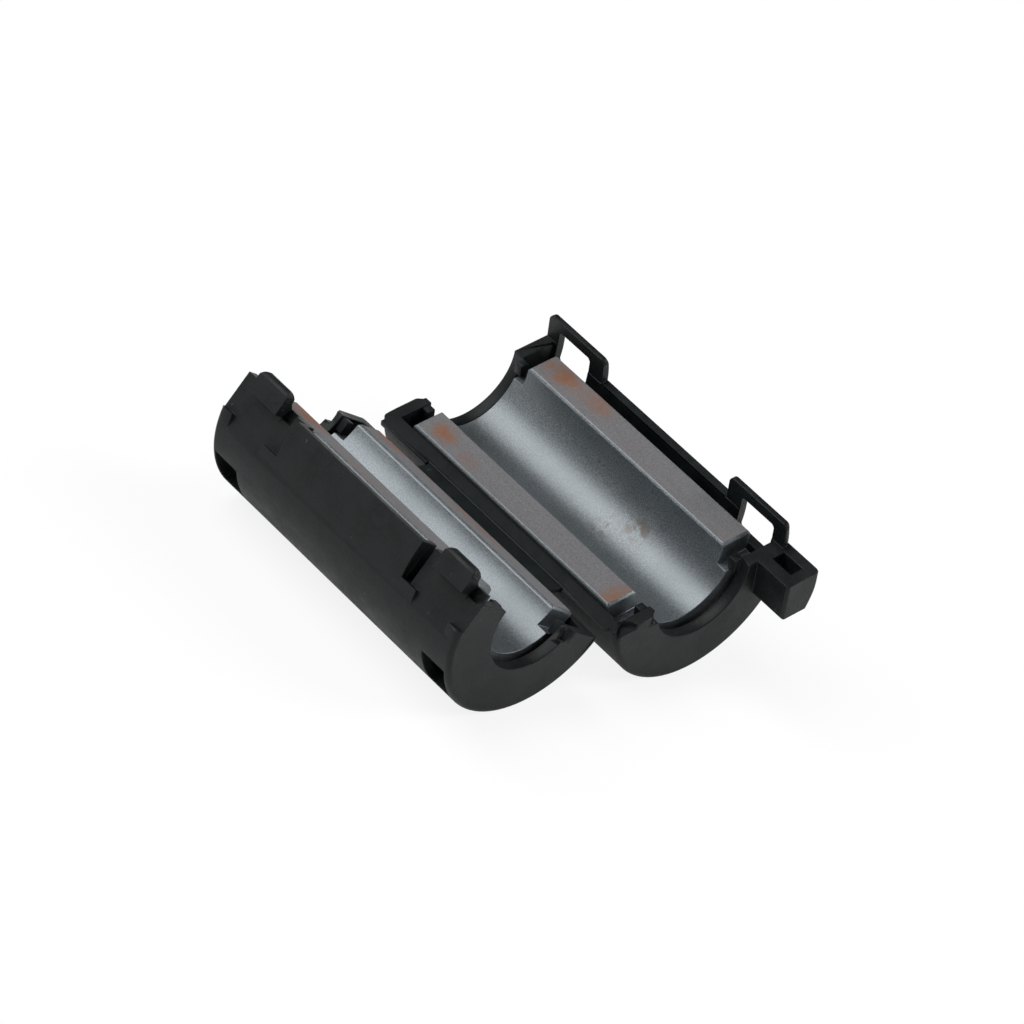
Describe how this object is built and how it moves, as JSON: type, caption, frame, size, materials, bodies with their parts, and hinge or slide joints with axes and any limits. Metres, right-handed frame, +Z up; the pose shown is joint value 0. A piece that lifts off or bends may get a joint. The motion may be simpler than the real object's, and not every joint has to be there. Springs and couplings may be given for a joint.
{
  "type": "clip-on ferrite bead",
  "caption": "Open clip-on ferrite bead: half-round ferrite cores in a hinged black case with snap loops, hooks and a cable-tie head.",
  "frame": {"origin": "middle of the base of the open bead's box, on the surface it lies on", "axes": "+X from the hook half to the loop half, +Y along the cable and away from the tie head, +Z up"},
  "size_m": [0.0402, 0.0358, 0.0153],
  "materials": {
    "case": "black nylon with a fine matt mould texture",
    "ferrite": "grey sintered ferrite with ground mating faces, a satin channel and rust stains"
  },
  "bodies": {
    "hook_half": {"hook_shell": "case", "living_hinge": "case", "hook_side_core": "ferrite"},
    "loop_half": {"loop_shell": "case", "loop_side_core": "ferrite"}
  },
  "joints": [
    {"name": "case_hinge", "type": "hinge", "parent": "hook_half", "child": "loop_half", "pos_m": [0, 0.00195, 0.00628], "axis": [0, -1, 0], "range_deg": [-41, 138.8]}
  ]
}
